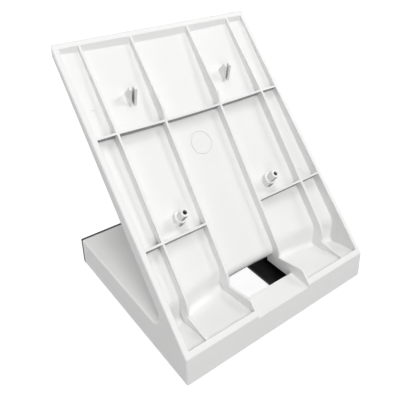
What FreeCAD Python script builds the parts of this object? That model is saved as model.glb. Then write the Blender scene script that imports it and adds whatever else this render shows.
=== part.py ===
import FreeCAD, Part
import math
import os

from FreeCAD import Vector

# Desk stand for a wall-type entry or alarm panel: one white moulding, with a flat
# base and a leaning ribbed back, closed below and behind by a folded steel plate.
#
# Frame: X across the width, -Y towards the user, +Z up. The origin is on the table,
# under the middle of the outer box. Two helper frames are used:
#   (u, w)  u from the front edge to the rear, w up from the moulding's lower edge
#   (s, n)  s up along the rest plane from the front lip, n out of it, towards the user

# ---- overall sizes, mm ----
width = 166.0            # across the moulding
base_depth = 146.0       # front edge to the steel plate's rear face
base_height = 22.0       # lower edge of the moulding to the flat top of the base
lip_height = 21.0        # lower edge to the top of the front lip
lip_setback = 1.0        # draft of the front face
rim_angle = 46.5         # the panel's rest plane above the horizontal, degrees
rim_length = 217.0       # along the rest plane, from the lip to the top edge

# ---- steel plate, feet and screws ----
plate_thickness = 2.0
plate_seat = 1.2         # how far the plate sits inside the moulding
plate_ledge = 1.7        # step in the moulding's lower edge that takes the plate
plate_gap = 0.3          # play between the plate and that step
flange_gap = 0.3         # play between the plate's flange and the moulding
cable_slot_width = 36.5
cable_slot_front = 22.0  # u of the slot's front edge
cable_slot_length = 42.0
cable_slot_corner = 3.0  # corner radius
foot_diameter = 12.0
foot_thickness = 1.2
foot_edge = 0.4          # rounding of the lower edge
foot_side = 70.0         # x of the feet
foot_front = 27.0        # u of the front feet
foot_rear = 119.0
screw_side = 70.0        # x of the plate screws
screw_rows = (13.0, 73.0, 133.0)
screw_diameter = 2.9
screw_head = 5.6
screw_length = 9.0
screw_play = 0.1         # all round, in the boss
screw_hole_play = 0.3    # all round, in the plate
screw_recess = 2.0       # across the cross recess
screw_recess_arm = 0.6
screw_recess_depth = 1.2
boss_diameter = 7.5
boss_end_room = 1.0      # hole beyond the screw's tip

# ---- moulding walls ----
side_wall = 3.0
front_wall = 3.0
top_wall = 2.6
cheek_wall = 4.0
top_rim = 3.9
lip_rim = 4.0
edge_round = 1.2
crotch_radius = 9.0      # where the base's top sweeps up into the back

# depth below the rest plane: at the top edge, and what it gains down to the lip
floor_cheek = (2.3, 8.0)
floor_middle = (2.9, 23.1)
back_cheek = (5.0, 8.3)
panel_wall = 2.8         # wall between the floor and the back, in the middle

# ---- ribs ----
rib_thickness = 1.8
inner_rib = 24.6         # x of the two middle ribs
outer_rib = 64.0
rib_height = (6.2, 7.4)  # above the floor, in the middle and at the cheeks
upper_cross = 146.8      # s of the cross ribs
lower_cross = 69.5
cross_thickness = 1.6
lower_lean = 8.0         # lower cross rib and posts stand this much steeper than square
rib_step = 12.0          # how far above the upper cross rib the tops come flush
run_front = (31.4, 23.0) # w of the tops over the lip, in the middle and on outer ribs
run_rear = (24.9, 26.4)  # and run_length further back, before they bend up
run_length = 28.0
nose_round = 3.0         # where the middle ribs' tops meet the rest plane

# ---- pockets, shelf and cable opening at the front ----
pocket_low = 17.8        # w of the pocket floor at its rear
pocket_high = 21.8       # and behind the lip
pocket_rear = (42.0, 29.0)  # u of its rear, in the middle and at the cheeks
pocket_radius = 4.0      # where it sweeps up at the rear
pocket_bend = 11.0       # and where that turns into the leaning floor
shelf_front = 18.8       # w of the low sill in front of the opening
shelf_rear = 20.1
opening_front = 18.3     # u
roll_radius = (7.0, 12.0)  # the floor's foot rolls under: in the middle, at the cheeks

# ---- hooks and screw posts ----
fixing_side = 41.75      # x of the hooks and posts: 83.5 apart
hook_top = 174.5         # s
hook_length = 10.9
hook_proud = 3.2         # above the rest plane
hook_flat = 2.5          # flat top, along s
hook_blade = 1.9
hook_slot = 2.0
post_s = 82.0
post_diameter = 6.4
post_foot = 9.8          # diameter of the collar at its foot
post_foot_height = 5.0
post_sink = 2.0          # into the sloping floor
post_below_rim = 1.8
post_bore = 3.2
post_bore_depth = 9.0

# ---- marks that the mould leaves on the floor ----
mark_depth = 0.2
gate_ring = (0.0, 125.0, 18.0)   # x, s and diameter
gate_ring_line = 0.8
pin_marks = ((71.0, 77.0), (-72.0, 166.0))
pin_mark_diameter = 4.5

# ---- worked out ----
half = width / 2
tilt = math.radians(rim_angle)
lean = math.radians(lower_lean)
cheek_in = half - cheek_wall
inner_face = inner_rib - rib_thickness / 2
top_u = lip_setback + rim_length * math.cos(tilt)
end_wall_u = top_u - top_rim * math.cos(tilt)
front_y = -max(top_u, base_depth) / 2
plate_low = foot_thickness
shell_low = plate_low + plate_thickness - plate_seat
rear_u = base_depth - plate_thickness - flange_gap
base_under = base_height - top_wall   # w of the underside of the base's top
far = 40.0               # overrun of cutting shapes
clear_w = rim_length + far
embed = 1.0              # how far added shapes sink into the wall that carries them


def place(x, u, w):
    return Vector(x, u + front_y, w + shell_low)


def rim_point(s, n):
    """(u, w) of a point at s along the rest plane and n out of it."""
    u = lip_setback + s * math.cos(tilt) - n * math.sin(tilt)
    w = lip_height + s * math.sin(tilt) + n * math.cos(tilt)
    return u, w


def out_of_rim(u, w):
    """How far a (u, w) point lies out of the rest plane."""
    return (w - lip_height) * math.cos(tilt) - (u - lip_setback) * math.sin(tilt)


def parabola(middle, edge, x, x_edge):
    return middle + (edge - middle) * (x / x_edge) ** 2


def floor_depth(x, s):
    """Depth of the panel's floor below the rest plane."""
    down = 1 - s / rim_length
    middle = floor_middle[0] + floor_middle[1] * down
    cheek = floor_cheek[0] + floor_cheek[1] * down
    return parabola(middle, cheek, x, cheek_in)


def back_depth(x, s):
    """Depth of the rear surface below the rest plane."""
    down = 1 - s / rim_length
    middle = floor_middle[0] + floor_middle[1] * down + panel_wall
    cheek = back_cheek[0] + back_cheek[1] * down
    return parabola(middle, cheek, x, half)


def line_at_height(first, second, w):
    """The point at height w on the line through two (u, w) points."""
    share = (w - first[1]) / (second[1] - first[1])
    return first[0] + (second[0] - first[0]) * share, w


def line_at_depth(first, second, u):
    """The point at u on the line through two (u, w) points."""
    share = (u - first[0]) / (second[0] - first[0])
    return u, first[1] + (second[1] - first[1]) * share


def rounded_corner(before, corner, after, radius):
    """Start, middle and end of the arc that rounds a corner in (u, w)."""
    a = Vector(before[0] - corner[0], before[1] - corner[1], 0)
    b = Vector(after[0] - corner[0], after[1] - corner[1], 0)
    a.normalize()
    b.normalize()
    half_turn = a.getAngle(b) / 2
    reach = radius / math.tan(half_turn)
    middle = a + b
    middle.normalize()
    inward = radius / math.sin(half_turn) - radius
    start = (corner[0] + a.x * reach, corner[1] + a.y * reach)
    centre = (corner[0] + middle.x * inward, corner[1] + middle.y * inward)
    end = (corner[0] + b.x * reach, corner[1] + b.y * reach)
    return start, centre, end


def section(x, steps):
    """Closed wire at x. A step is one (u, w) point, or an arc's three points."""
    edges = []
    at = steps[0]
    for step in steps[1:] + [steps[0]]:
        if len(step) == 3:
            edges.append(Part.makeLine(place(x, *at), place(x, *step[0])))
            arc = Part.Arc(place(x, *step[0]), place(x, *step[1]), place(x, *step[2]))
            edges.append(arc.toShape())
            at = step[2]
        else:
            edges.append(Part.makeLine(place(x, *at), place(x, *step)))
            at = step
    return Part.Wire(edges)


def across(profile, x_reach):
    """Solid lofted through the profile at both sides and in the middle."""
    wires = [section(x, profile(x)) for x in (-x_reach, 0.0, x_reach)]
    return Part.makeLoft(wires, True, False)


def prism(steps, x_low, x_high):
    face = Part.Face(section(x_low, steps))
    return face.extrude(Vector(x_high - x_low, 0, 0))


def block(x_low, x_high, u_low, u_high, w_low, w_high):
    corner = place(x_low, u_low, w_low)
    return Part.makeBox(x_high - x_low, u_high - u_low, w_high - w_low, corner)


def rim_slab(s_low, s_high, n_low, n_high, x_low, x_high):
    """Box that is square to the rest plane."""
    corners = [(s_low, n_low), (s_high, n_low), (s_high, n_high), (s_low, n_high)]
    return prism([rim_point(s, n) for s, n in corners], x_low, x_high)


# ---------------- the moulding ----------------

def outline():
    """Side view of the moulding before the space behind the panel is cut away."""
    top_w = rim_point(rim_length, 0)[1]
    step_w = base_height + far / 2
    steps = [(0, 0), (lip_setback, lip_height), (top_u, top_w), (top_u, step_w),
             (rear_u, step_w), (rear_u, 0)]
    return prism(steps, -half, half)


def rear_space():
    """Space behind the panel and over the base."""
    def profile(x):
        low = rim_point(0, -back_depth(x, 0))
        high_s = rim_length + far
        high = rim_point(high_s, -back_depth(x, high_s))
        crotch = line_at_height(low, high, base_height)
        rear = (base_depth + far, base_height)
        return [high, crotch, rear, (base_depth + far, high[1])]
    return across(profile, half + embed)


def floor_line(x, rise):
    """Two (u, w) points on the floor, or on a line that lies rise above it."""
    low = rim_point(0, rise - floor_depth(x, 0))
    high = rim_point(rim_length, rise - floor_depth(x, rim_length))
    return low, high


def floor_roll(x, rise):
    """Arc by which the foot of the floor rolls under, or of a line rise above it."""
    low, high = floor_line(x, rise)
    level = base_under - rise
    toe = line_at_height(low, high, level)
    radius = parabola(*roll_radius, x, cheek_in) + rise
    return rounded_corner(high, toe, (rear_u, level), radius)


def recess():
    """Hollow on the user's side, between the cheeks, down to the pocket floors."""
    def profile(x):
        low, high = floor_line(x, 0)
        rear = (parabola(*pocket_rear, x, cheek_in), pocket_low)
        bend = line_at_depth(low, high, rear[0])
        return [(end_wall_u, clear_w), line_at_depth(low, high, end_wall_u),
                rounded_corner(high, bend, rear, pocket_bend),
                rounded_corner(bend, rear, (lip_rim, pocket_high), pocket_radius),
                (lip_rim, pocket_high), (lip_rim, clear_w)]
    return across(profile, cheek_in)


def hollow_front(x):
    """u where the higher rear part of the hollow under the base begins."""
    return parabola(*pocket_rear, x, cheek_in) + top_wall


def middle_bay():
    """Hollow between the middle ribs. The cable opening goes down through the base
    under the floor's rolled foot, and a low sill is left in front of it."""
    sill_front = line_at_depth((0, shelf_front), (opening_front, shelf_rear), -embed)

    def profile(x):
        corner = line_at_depth(*floor_line(x, 0), end_wall_u)
        roll = floor_roll(x, 0)
        return [(end_wall_u, clear_w), corner, roll, (roll[2][0], -embed),
                (opening_front, -embed), (opening_front, shelf_rear), sill_front,
                (-embed, clear_w)]
    return across(profile, inner_face)


def above_rib_line(x):
    """Side view of the space in front of the ribs' tops along the leaning floor."""
    rise = parabola(*rib_height, x, cheek_in)
    roll = floor_roll(x, rise)
    flush = rim_point(upper_cross + rib_step, embed)
    above = rim_point(upper_cross + rib_step, far)
    crossing = rim_point(upper_cross, rise - floor_depth(x, upper_cross))
    return [above, flush, crossing, roll, (roll[2][0], -embed), (-embed, -embed),
            (-embed, above[1])]


def above_rib_run(x):
    """Side view of the space over the ribs' tops between the lip and their bend."""
    front = (lip_rim, parabola(*run_front, x, outer_rib))
    rear = (lip_rim + run_length, parabola(*run_rear, x, outer_rib))
    end = line_at_depth(front, rear, rear_u)
    share = out_of_rim(*front) / (out_of_rim(*front) - out_of_rim(*rear))
    nose = line_at_depth(front, rear, front[0] + run_length * share)
    past_lip = rim_point(-far, embed)
    return [end, rounded_corner(end, nose, past_lip, nose_round), past_lip,
            (past_lip[0], clear_w), (rear_u, clear_w)]


def space_over_ribs():
    """Space above the ribs' tops: level behind the lip, then up along the floor, and
    flush with the rest plane from the step over the upper cross rib."""
    over_run = across(above_rib_run, outer_rib + rib_thickness)
    over_cross = rim_slab(lower_cross / 2, rim_length, -far, far, -cheek_in, cheek_in)
    space = across(above_rib_line, cheek_in).common([over_run, over_cross])
    return space.cut(block(-half, half, -far, lip_rim, 0, clear_w))


def cross_rib(s, angle):
    """Wall that is left standing across the recess at s, leaning from square."""
    t = cross_thickness / 2

    def profile(x):
        top_n = parabola(*rib_height, x, cheek_in) - floor_depth(x, s)
        low = s - far * math.tan(angle)
        high = s + (far - top_n) * math.tan(angle)
        return [rim_point(low - t, top_n - far), rim_point(high - t, far),
                rim_point(high + t, far), rim_point(low + t, top_n - far)]
    return across(profile, half)


def side_bays():
    """The recess without its ribs and without the middle bay."""
    t = rib_thickness / 2
    middle = block(-inner_rib - t, inner_rib + t, 0, top_u, 0, clear_w)
    kept = [middle, cross_rib(upper_cross, 0), cross_rib(lower_cross, lean).cut(middle)]
    for x in (-outer_rib, outer_rib):
        kept.append(block(x - t, x + t, 0, top_u, 0, clear_w))
    return recess().cut(kept)


def base_hollow():
    """Hollow under the base, and the step in its lower edge that takes the plate."""
    reach = half - side_wall
    low = -embed
    front = block(-reach, reach, front_wall, rear_u + embed, low, pocket_low - top_wall)

    def profile(x):
        return [(hollow_front(x), low), (hollow_front(x), base_under),
                (rear_u + embed, base_under), (rear_u + embed, low)]
    ledge = half - plate_ledge
    seat = block(-ledge, ledge, plate_ledge, rear_u + embed, low, plate_seat)
    return front.fuse([across(profile, reach), seat])


def screw_places():
    return [(side * screw_side, u) for u in screw_rows for side in (-1, 1)]


def boss(x, u):
    """Boss under the base for one plate screw."""
    in_front = u - boss_diameter / 2 < hollow_front(x)
    under = pocket_low - top_wall if in_front else base_under
    at = place(x, u, plate_seat)
    return Part.makeCylinder(boss_diameter / 2, under - plate_seat + embed, at)


def boss_bore(x, u):
    radius = screw_diameter / 2 + screw_play
    depth = screw_length - plate_thickness + boss_end_room
    return Part.makeCylinder(radius, depth + embed, place(x, u, plate_seat - embed))


def hook(side):
    """Two upright fins with a slot between them, under the panel's hanging eye."""
    fins = []
    x = side * fixing_side
    low_s = hook_top - hook_length
    root_top = -floor_depth(x, hook_top) - embed
    root_low = -floor_depth(x, low_s) - embed
    corners = [(hook_top, root_top), (hook_top, hook_proud),
               (hook_top - hook_flat, hook_proud), (low_s, root_low)]
    steps = [rim_point(s, n) for s, n in corners]
    for gap_side in (-1, 1):
        near = x + gap_side * hook_slot / 2
        ends = sorted((near, near + gap_side * hook_blade))
        fins.append(prism(steps, *ends))
    return fins


def post_frame(side, depth):
    """Place on the post's axis at a depth below its end, and the axis itself."""
    axis = Vector(0, -math.sin(tilt - lean), math.cos(tilt - lean))
    end = place(side * fixing_side, *rim_point(post_s, -post_below_rim))
    return end - axis * depth, axis


def post(side):
    below_end = floor_depth(fixing_side, post_s) - post_below_rim
    length = below_end / math.cos(lean) + post_sink
    at, axis = post_frame(side, length)
    collar = Part.makeCylinder(post_foot / 2, post_foot_height + post_sink, at, axis)
    pin = Part.makeCylinder(post_diameter / 2, length, at, axis)
    return [collar, pin]


def post_hole(side):
    at, axis = post_frame(side, post_bore_depth)
    return Part.makeCylinder(post_bore / 2, post_bore_depth + embed, at, axis)


def on_floor(x, s):
    return place(x, *rim_point(s, -floor_depth(x, s)))


def mark(x, s, diameter):
    """Shallow round mark sunk square into the floor."""
    at = on_floor(x, s)
    axis = (on_floor(x + 1, s) - at).cross(on_floor(x, s + 1) - at)
    axis.normalize()
    return Part.makeCylinder(diameter / 2, mark_depth + embed, at - axis * mark_depth, axis)


def marks():
    x, s, diameter = gate_ring
    ring = mark(x, s, diameter).cut(mark(x, s, diameter - 2 * gate_ring_line))
    return [ring] + [mark(x, s, pin_mark_diameter) for x, s in pin_marks]


def edges_at(shape, test):
    return [edge for edge in shape.Edges if test(edge)]


def edge_middle(edge):
    """(x, u, w) of the middle of an edge."""
    middle = edge.valueAt((edge.FirstParameter + edge.LastParameter) / 2)
    return middle.x, middle.y - front_y, middle.z - shell_low


def is_crotch_edge(edge):
    """Edge along X where the back meets the top of the base."""
    x, u, w = edge_middle(edge)
    return abs(x) < 1.0 and u < rear_u - 1.0 and abs(w - base_height) < 0.01


def is_outer_edge(edge):
    """Side edges, but not the lowest ones and those that the plate's flange covers."""
    x, u, w = edge_middle(edge)
    if w < 0.01 or (abs(u - rear_u) < 0.01 and w < base_height + 0.01):
        return False
    at_side = abs(abs(x) - half) < 0.01
    at_lip = abs(u - lip_setback) < 0.01 and abs(w - lip_height) < 0.01
    return at_side or at_lip


def stand_body():
    body = outline().cut(rear_space())
    body = body.makeFillet(crotch_radius, edges_at(body, is_crotch_edge))
    body = body.makeFillet(edge_round, edges_at(body, is_outer_edge))
    middle = middle_bay().cut(cross_rib(upper_cross, 0))
    body = body.cut([side_bays(), middle, space_over_ribs(), base_hollow()] + marks())
    added = [boss(x, u) for x, u in screw_places()]
    for side in (-1, 1):
        added += hook(side) + post(side)
    body = body.fuse(added)
    holes = [boss_bore(x, u) for x, u in screw_places()]
    holes += [post_hole(side) for side in (-1, 1)]
    body = body.cut(holes)
    return body.removeSplitter()


# ---------------- plate, screws and feet ----------------

def plate_point(x, u, z):
    return Vector(x, u + front_y, z)


def base_plate():
    """Steel sheet under the base, folded up to close its rear."""
    reach = half - plate_ledge - plate_gap
    front = plate_ledge + plate_gap
    fold_u = base_depth - plate_thickness
    sheet = Part.makeBox(2 * reach, base_depth - front, plate_thickness,
                         plate_point(-reach, front, plate_low))
    top = shell_low + base_height
    flange = Part.makeBox(width, plate_thickness, top - plate_low,
                          plate_point(-half, fold_u, plate_low))
    plate = sheet.fuse(flange)
    slot = Part.makeBox(cable_slot_width, cable_slot_length, plate_thickness + 2 * embed,
                        plate_point(-cable_slot_width / 2, cable_slot_front, plate_low - embed))
    cuts = [slot]
    for x, u in screw_places():
        cuts.append(screw_shape(x, u, screw_hole_play))
    plate = plate.cut(cuts).removeSplitter()
    fold = [edge for edge in plate.Edges if is_fold_edge(edge)]
    plate = plate.makeFillet(plate_thickness, fold)
    corners = [edge for edge in plate.Edges if is_slot_corner(edge)]
    return plate.makeFillet(cable_slot_corner, corners)


def is_fold_edge(edge):
    ends = edge.Vertexes
    if len(ends) != 2 or abs(ends[0].X - ends[1].X) < width / 2:
        return False
    low = all(abs(v.Z - plate_low) < 0.01 for v in ends)
    return low and all(abs(v.Y - front_y - base_depth) < 0.01 for v in ends)


def is_slot_corner(edge):
    ends = edge.Vertexes
    if len(ends) != 2 or abs(ends[0].Z - ends[1].Z) < plate_thickness - 0.01:
        return False
    middle = (ends[0].Point + ends[1].Point) / 2
    in_width = abs(abs(middle.x) - cable_slot_width / 2) < 0.01
    u = middle.y - front_y
    slot_ends = (cable_slot_front, cable_slot_front + cable_slot_length)
    return in_width and min(abs(u - end) for end in slot_ends) < 0.01


def screw_shape(x, u, play):
    """Countersunk screw, head down, without its recess."""
    at = plate_point(x, u, plate_low)
    shank_radius = screw_diameter / 2 + play
    head_radius = screw_head / 2 + play
    cone_height = head_radius - shank_radius
    head = Part.makeCone(head_radius, shank_radius, cone_height, at)
    shank = Part.makeCylinder(shank_radius, screw_length, at)
    return head.fuse(shank).removeSplitter()


def base_screw(x, u):
    screw = screw_shape(x, u, 0)
    depth = screw_recess_depth + embed
    arms = ((screw_recess, screw_recess_arm), (screw_recess_arm, screw_recess))
    for size_x, size_y in arms:
        corner = plate_point(x - size_x / 2, u - size_y / 2, plate_low - embed)
        screw = screw.cut(Part.makeBox(size_x, size_y, depth, corner))
    return screw


def foot(x, u):
    pad = Part.makeCylinder(foot_diameter / 2, foot_thickness, plate_point(x, u, 0))
    low = [edge for edge in pad.Edges if edge.BoundBox.ZMax < 0.01]
    return pad.makeFillet(foot_edge, low)


def write(name, shape):
    if not shape.isValid():
        raise ValueError(name + " is not a valid solid")
    if len(shape.Solids) != 1:
        raise ValueError(name + " is not one solid")
    shape.Solids[0].exportStep("parts/" + name + ".step")


def main():
    os.makedirs("parts", exist_ok=True)
    write("stand_body", stand_body())
    write("base_plate", base_plate())
    sides = {-1: "left", 1: "right"}
    rows = dict(zip(screw_rows, ("front", "middle", "rear")))
    for x, u in screw_places():
        side = sides[int(math.copysign(1, x))]
        write("base_screw_" + rows[u] + "_" + side, base_screw(x, u))
    for row, u in (("front", foot_front), ("rear", foot_rear)):
        for sign, side in sides.items():
            write("foot_" + row + "_" + side, foot(sign * foot_side, u))


main()
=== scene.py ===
import bpy
import math
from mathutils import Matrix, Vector


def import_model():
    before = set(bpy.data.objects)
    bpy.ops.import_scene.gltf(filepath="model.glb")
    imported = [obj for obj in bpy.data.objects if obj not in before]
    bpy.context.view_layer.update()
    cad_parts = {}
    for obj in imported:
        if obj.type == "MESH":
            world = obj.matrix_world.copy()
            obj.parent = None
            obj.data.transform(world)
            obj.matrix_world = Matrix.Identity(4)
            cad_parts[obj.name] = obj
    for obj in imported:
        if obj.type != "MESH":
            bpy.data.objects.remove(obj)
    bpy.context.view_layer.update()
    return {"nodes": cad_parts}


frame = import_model()

# Desk stand for a wall-type entry panel: one white moulding on a folded black steel
# plate, with its screws and rubber feet. Everything is in metres.

MM = 0.001
RIM_ANGLE = math.radians(46.5)   # the panel's rest plane above the horizontal

# ---- painted shade in the white moulding's colour ----
CREVICE_REACH = 7                # mm; painted shade: a hole or slot narrower than this is painted darker
# painted shade in narrow holes goes down to this share of the colour
PAINTED_CREVICE_DARKEST = 0.06
# painted shade under the down-facing ledges and ribs goes down to this share of the colour
PAINTED_LEDGE_DARKEST = 0.32

# ---- studio, seen from the middle of the panel ----
AIM = Vector((0, 0, 0.08))
LAMP_DISTANCE = 1.8
LAMP_SIZE = 0.7
TABLE_SIZE = 8
TABLE_SEEN = 0.3                 # the table's colour where it is seen
TABLE_LIT = 0.4                  # and where it only throws light back
TABLE_GLOW = (0.86, 1.0)         # near the stand, and far off
TABLE_FADE = (0.4, 1.6)          # distances between which it goes from one to the other
# compass angle from the user's side (turning to the right), height angle, and the
# light on a surface square to the lamp (at 1 a surface looks as bright as its colour)
LAMPS = {
    "front_lamp": (337.5, 40, 0.52),
    "right_lamp": (67.5, 40, 0.30),
    "low_right_lamp": (90, 15, 0.13),
    "top_lamp": (0, 90, 0.31),
    "left_lamp": (247.5, 40, 0.095),
    "low_rear_lamp": (225, 15, 0.20),
    "low_front_lamp": (337.5, 5, 0.18),
    "rear_lamp": (190, 20, 0.21),
}
CAMERA_PLACE = (-0.19666, -0.24346, 0.27490)
CAMERA_TURN = (61.405, 0, -37.262)
CAMERA_LENS = 45.105
CAMERA_SHIFT = (-0.01553, -0.11425)


# ---------------- node helpers ----------------

def new_material(name):
    material = bpy.data.materials.new(name)
    material.use_nodes = True
    return material, material.node_tree, material.node_tree.nodes["Principled BSDF"]


def add_node(tree, kind, **settings):
    """A node with its properties set, and its inputs set where the name is an input's."""
    node = tree.nodes.new(kind)
    for key, value in settings.items():
        if hasattr(node, key):
            setattr(node, key, value)
        else:
            node.inputs[key.replace("_", " ").title()].default_value = value
    return node


def object_coordinates(tree):
    return add_node(tree, "ShaderNodeTexCoord").outputs["Object"]


def noise(tree, size_mm, detail=4.0, roughness=0.5, stretch=(1, 1, 1)):
    """Noise whose blotches are about size_mm across."""
    mapping = tree.nodes.new("ShaderNodeMapping")
    mapping.inputs["Scale"].default_value = stretch
    tree.links.new(object_coordinates(tree), mapping.inputs["Vector"])
    node = add_node(tree, "ShaderNodeTexNoise", scale=1 / (size_mm * MM), detail=detail)
    node.inputs["Roughness"].default_value = roughness
    tree.links.new(mapping.outputs["Vector"], node.inputs["Vector"])
    return node.outputs["Fac"]


def remap(tree, value, low, high, to_low, to_high):
    node = tree.nodes.new("ShaderNodeMapRange")
    limits = {"From Min": low, "From Max": high, "To Min": to_low, "To Max": to_high}
    for name, number in limits.items():
        node.inputs[name].default_value = number
    tree.links.new(value, node.inputs["Value"])
    return node.outputs["Result"]


def colour_ramp(tree, value, first, second, low=0.35, high=0.65):
    """Colour that goes from first to second as the value rises from low to high."""
    ramp = tree.nodes.new("ShaderNodeValToRGB")
    ramp.color_ramp.elements[0].position = low
    ramp.color_ramp.elements[0].color = (*first, 1)
    ramp.color_ramp.elements[1].position = high
    ramp.color_ramp.elements[1].color = (*second, 1)
    tree.links.new(value, ramp.inputs["Fac"])
    return ramp.outputs["Color"]


def math_node(tree, operation, first, second=None):
    node = add_node(tree, "ShaderNodeMath", operation=operation)
    for socket, value in zip(node.inputs, (first, second)):
        if isinstance(value, (int, float)):
            socket.default_value = value
        elif value is not None:
            tree.links.new(value, socket)
    return node.outputs["Value"]


def rounded_normal(tree, radius_mm, samples=6):
    node = tree.nodes.new("ShaderNodeBevel")
    node.samples = samples
    node.inputs["Radius"].default_value = radius_mm * MM
    return node.outputs["Normal"]


def edge_mask(tree, radius_mm):
    """1 on sharp edges and corners, 0 on the flat."""
    geometry = tree.nodes.new("ShaderNodeNewGeometry")
    product = add_node(tree, "ShaderNodeVectorMath", operation="DOT_PRODUCT")
    tree.links.new(rounded_normal(tree, radius_mm), product.inputs[0])
    tree.links.new(geometry.outputs["Normal"], product.inputs[1])
    return remap(tree, product.outputs["Value"], 0.995, 0.80, 0.0, 1.0)


def bump(tree, height, distance_mm, normal=None):
    node = tree.nodes.new("ShaderNodeBump")
    node.inputs["Distance"].default_value = distance_mm * MM
    tree.links.new(height, node.inputs["Height"])
    if normal is not None:
        tree.links.new(normal, node.inputs["Normal"])
    return node.outputs["Normal"]


# ---------------- finishes, and painted shade ---

def painted_crevice_shade(tree):
    """Painted shade: 1 on open surfaces, falling in narrow holes and slots that little light
    enters.
    """
    occlusion = tree.nodes.new("ShaderNodeAmbientOcclusion")
    occlusion.samples = 8
    occlusion.inputs["Distance"].default_value = CREVICE_REACH * MM
    return remap(tree, occlusion.outputs["AO"], 0.06, 0.42, PAINTED_CREVICE_DARKEST, 1.0)


def painted_ledge_shade(tree):
    """Painted shade: 1 everywhere but under the ledges and ribs that face down towards the user,
    where the colour is darkened.
    """
    down = (0, -math.cos(RIM_ANGLE), -math.sin(RIM_ANGLE))
    facing = add_node(tree, "ShaderNodeVectorMath", operation="DOT_PRODUCT")
    coordinates = tree.nodes.new("ShaderNodeTexCoord")
    tree.links.new(coordinates.outputs["Normal"], facing.inputs[0])
    facing.inputs[1].default_value = down
    return remap(tree, facing.outputs["Value"], 0.78, 0.96, 1.0, PAINTED_LEDGE_DARKEST)


def darken(tree, colour, *shades):
    """The colour times each of the shades."""
    for shade in shades:
        scale = add_node(tree, "ShaderNodeVectorMath", operation="SCALE")
        tree.links.new(colour, scale.inputs[0])
        tree.links.new(shade, scale.inputs["Scale"])
        colour = scale.outputs["Vector"]
    return colour


def white_moulding():
    """Satin white plastic with a fine spark-eroded grain and a faint flow in its surface.

    Painted shade darkens its colour in narrow holes and under the cross ribs.
    """
    material, tree, shader = new_material("white moulding")
    tint = noise(tree, 45, detail=3)
    colour = colour_ramp(tree, tint, (0.793, 0.793, 0.788), (0.807, 0.807, 0.802))
    # painted shade: the colour is darkened in narrow holes and on faces turned down towards the
    # user
    colour = darken(tree, colour, painted_crevice_shade(tree), painted_ledge_shade(tree))
    tree.links.new(colour, shader.inputs["Base Color"])
    sheen_patches = remap(tree, noise(tree, 12, detail=5), 0.3, 0.7, 0.46, 0.56)
    polished_edges = math_node(tree, "MULTIPLY", edge_mask(tree, 0.5), -0.12)
    roughness = math_node(tree, "ADD", sheen_patches, polished_edges)
    tree.links.new(roughness, shader.inputs["Roughness"])
    flow = bump(tree, noise(tree, 30, detail=2, stretch=(1, 0.4, 0.4)), 0.05,
                rounded_normal(tree, 0.6))
    grain = bump(tree, noise(tree, 0.35, detail=2), 0.005, flow)
    tree.links.new(grain, shader.inputs["Normal"])
    shader.inputs["Specular IOR Level"].default_value = 0.4
    return material


def black_powder_coat():
    """Matt black powder coat on steel, with orange peel and bare specks on the edges."""
    material, tree, shader = new_material("black powder coat")
    specks = noise(tree, 1.2, detail=5, roughness=0.7)
    worn = math_node(tree, "MULTIPLY", edge_mask(tree, 0.4),
                     remap(tree, specks, 0.52, 0.66, 0.0, 1.0))
    colour = colour_ramp(tree, worn, (0.018, 0.018, 0.019), (0.07, 0.07, 0.073), 0.3, 0.95)
    tree.links.new(colour, shader.inputs["Base Color"])
    roughness = remap(tree, noise(tree, 8, detail=4), 0.3, 0.7, 0.5, 0.66)
    tree.links.new(roughness, shader.inputs["Roughness"])
    peel = bump(tree, noise(tree, 0.9, detail=2), 0.03, rounded_normal(tree, 0.3))
    tree.links.new(peel, shader.inputs["Normal"])
    return material


def black_zinc():
    """Blackened zinc plate on the screws, brighter where the driver has rubbed."""
    material, tree, shader = new_material("black zinc plate")
    shader.inputs["Metallic"].default_value = 1.0
    rubbed = math_node(tree, "MULTIPLY", edge_mask(tree, 0.15), noise(tree, 0.5, detail=3))
    colour = colour_ramp(tree, rubbed, (0.10, 0.10, 0.11), (0.42, 0.42, 0.43), 0.15, 0.7)
    tree.links.new(colour, shader.inputs["Base Color"])
    roughness = remap(tree, noise(tree, 0.8, detail=4), 0.3, 0.7, 0.30, 0.48)
    tree.links.new(roughness, shader.inputs["Roughness"])
    tree.links.new(bump(tree, noise(tree, 0.25, detail=2), 0.008), shader.inputs["Normal"])
    return material


def foot_rubber():
    """Matt black rubber, dusty in patches."""
    material, tree, shader = new_material("foot rubber")
    dust = noise(tree, 3, detail=5)
    colour = colour_ramp(tree, dust, (0.022, 0.022, 0.022), (0.05, 0.049, 0.047))
    tree.links.new(colour, shader.inputs["Base Color"])
    roughness = remap(tree, noise(tree, 1.5, detail=4), 0.3, 0.7, 0.74, 0.9)
    tree.links.new(roughness, shader.inputs["Roughness"])
    pitting = bump(tree, noise(tree, 0.3, detail=3), 0.03, rounded_normal(tree, 0.2))
    tree.links.new(pitting, shader.inputs["Normal"])
    return material


def dress(frame):
    finishes = {
        "stand_body": white_moulding(),
        "base_plate": black_powder_coat(),
        "base_screw": black_zinc(),
        "foot": foot_rubber(),
    }
    for name, node in frame["nodes"].items():
        kind = next(piece for piece in finishes if name.startswith(piece))
        for slot in node.material_slots:
            slot.material = finishes[kind]


# ---------------- studio ----------------

def seen_directly(tree):
    """1 for rays from the camera, and for those that gloss or glass sends on."""
    path = tree.nodes.new("ShaderNodeLightPath")
    seen = math_node(tree, "MAXIMUM", path.outputs["Is Camera Ray"], path.outputs["Is Glossy Ray"])
    return math_node(tree, "MAXIMUM", seen, path.outputs["Is Transmission Ray"])


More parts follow.
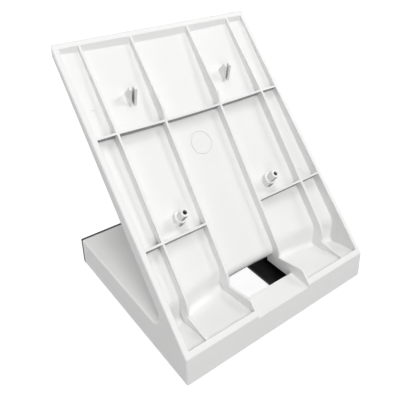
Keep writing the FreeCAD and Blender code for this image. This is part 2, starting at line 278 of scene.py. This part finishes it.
def floor():
    """White table that keeps a faint shadow near the stand, and fades to white far off."""
    bpy.ops.mesh.primitive_plane_add(size=TABLE_SIZE)
    table = bpy.context.object
    table.name = "table"
    material, tree, shader = new_material("white table")
    seen = seen_directly(tree)
    shader.inputs["Roughness"].default_value = 0.9
    shader.inputs["Specular IOR Level"].default_value = 0.0
    colour = colour_ramp(tree, seen, (TABLE_LIT,) * 3, (TABLE_SEEN,) * 3, 0, 1)
    tree.links.new(colour, shader.inputs["Base Color"])
    shader.inputs["Emission Color"].default_value = (1, 1, 1, 1)
    away = add_node(tree, "ShaderNodeVectorMath", operation="LENGTH")
    tree.links.new(object_coordinates(tree), away.inputs[0])
    glow = remap(tree, away.outputs["Value"], *TABLE_FADE, *TABLE_GLOW)
    glow_seen = math_node(tree, "MULTIPLY", seen, glow)
    tree.links.new(glow_seen, shader.inputs["Emission Strength"])
    table.data.materials.append(material)


def world():
    sky = bpy.data.worlds.new("studio")
    sky.use_nodes = True
    background = sky.node_tree.nodes["Background"]
    background.inputs["Color"].default_value = (1, 1, 1, 1)
    sky.node_tree.links.new(seen_directly(sky.node_tree), background.inputs["Strength"])
    bpy.context.scene.world = sky


def lamps():
    for name, (compass, height, light) in LAMPS.items():
        data = bpy.data.lights.new(name, "AREA")
        data.shape = "DISK"
        data.size = LAMP_SIZE
        data.energy = light * math.pi ** 2 * LAMP_DISTANCE ** 2
        lamp = bpy.data.objects.new(name, data)
        turn, rise = math.radians(compass), math.radians(height)
        towards = Vector((math.sin(turn) * math.cos(rise),
                          -math.cos(turn) * math.cos(rise),
                          math.sin(rise)))
        lamp.location = AIM + towards * LAMP_DISTANCE
        lamp.rotation_euler = towards.to_track_quat("Z", "Y").to_euler()
        bpy.context.scene.collection.objects.link(lamp)


def camera():
    data = bpy.data.cameras.new("camera")
    data.sensor_width = 36
    data.lens = CAMERA_LENS
    data.shift_x, data.shift_y = CAMERA_SHIFT
    eye = bpy.data.objects.new("camera", data)
    eye.location = CAMERA_PLACE
    eye.rotation_euler = [math.radians(angle) for angle in CAMERA_TURN]
    bpy.context.scene.collection.objects.link(eye)
    bpy.context.scene.camera = eye


bpy.context.scene.view_settings.view_transform = "Standard"
dress(frame)
floor()
world()
lamps()
camera()
